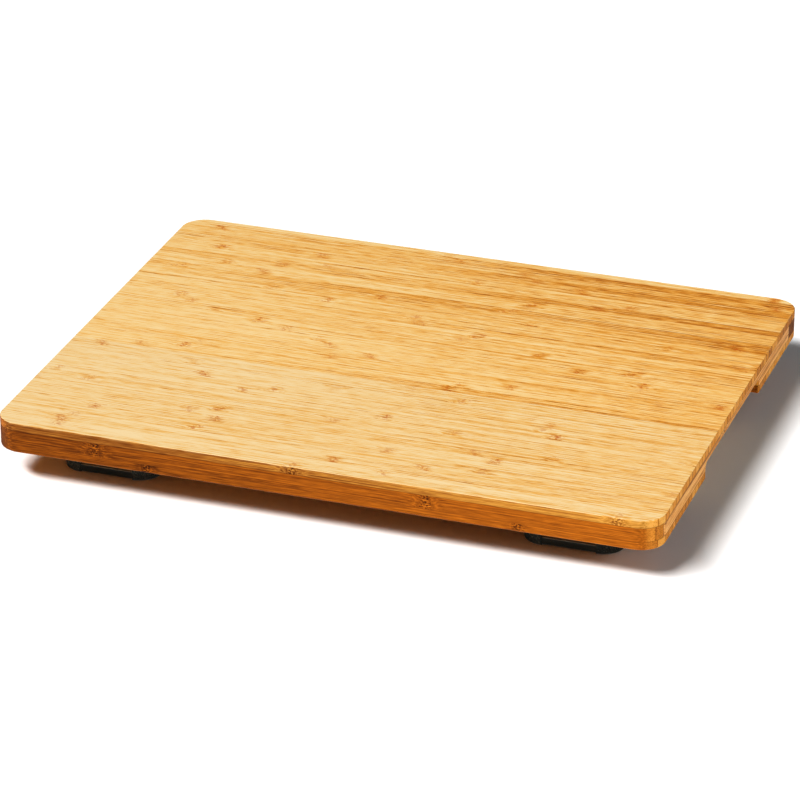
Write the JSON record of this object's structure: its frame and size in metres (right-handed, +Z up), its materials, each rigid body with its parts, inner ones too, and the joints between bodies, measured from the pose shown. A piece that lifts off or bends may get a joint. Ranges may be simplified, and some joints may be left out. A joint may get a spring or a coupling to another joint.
{
  "type": "cutting board",
  "caption": "Rectangular laminated bamboo cutting board with rounded corners, finger pockets under both short sides and low black feet with rubber end pads.",
  "frame": {"origin": "on the worktop under the middle of the board: the soles stand on Z = 0", "axes": "+X to the right along the board's long side, +Y away from the front edge, +Z up out of the work surface"},
  "size_m": [0.45, 0.352, 0.0433],
  "materials": {
    "face_bamboo": "oiled and sanded, satin",
    "core_bamboo": "oiled and sanded, satin",
    "foot_plastic": "semi-matt moulded",
    "pad_rubber": "fine spark texture",
    "screw_steel": "zinc plated"
  },
  "bodies": {
    "root": {"top_stave_01": "face_bamboo", "top_stave_02": "face_bamboo", "top_stave_03": "face_bamboo", "top_stave_04": "face_bamboo", "top_stave_05": "face_bamboo", "top_stave_06": "face_bamboo", "top_stave_07": "face_bamboo", "top_stave_08": "face_bamboo", "top_stave_09": "face_bamboo", "top_stave_10": "face_bamboo", "top_stave_11": "face_bamboo", "top_stave_12": "face_bamboo", "top_stave_13": "face_bamboo", "top_stave_14": "face_bamboo", "top_stave_15": "face_bamboo", "top_stave_16": "face_bamboo", "top_stave_17": "face_bamboo", "top_stave_18": "face_bamboo", "top_stave_19": "face_bamboo", "top_stave_20": "face_bamboo", "top_stave_21": "face_bamboo", "top_stave_22": "face_bamboo", "top_stave_23": "face_bamboo", "top_stave_24": "face_bamboo", "top_stave_25": "face_bamboo", "top_stave_26": "face_bamboo", "top_stave_27": "face_bamboo", "top_stave_28": "face_bamboo", "top_stave_29": "face_bamboo", "top_stave_30": "face_bamboo", "top_stave_31": "face_bamboo", "top_stave_32": "face_bamboo", "top_stave_33": "face_bamboo", "top_stave_34": "face_bamboo", "top_stave_35": "face_bamboo", "top_stave_36": "face_bamboo", "top_stave_37": "face_bamboo", "top_stave_38": "face_bamboo", "top_stave_39": "face_bamboo", "top_stave_40": "face_bamboo", "top_stave_41": "face_bamboo", "top_stave_42": "face_bamboo", "top_stave_43": "face_bamboo", "top_stave_44": "face_bamboo", "top_stave_45": "face_bamboo", "top_stave_46": "face_bamboo", "bottom_staves": "face_bamboo", "core_cross_staves": "core_bamboo", "core_end_staves": "core_bamboo", "core_front_sticks": "core_bamboo", "core_rear_stick": "core_bamboo", "front_left_foot": "foot_plastic", "front_right_foot": "foot_plastic", "rear_left_foot": "foot_plastic", "rear_right_foot": "foot_plastic", "front_left_foot_pads": "pad_rubber", "front_right_foot_pads": "pad_rubber", "rear_left_foot_pads": "pad_rubber", "rear_right_foot_pads": "pad_rubber", "foot_screws": "screw_steel"}
  },
  "joints": []
}
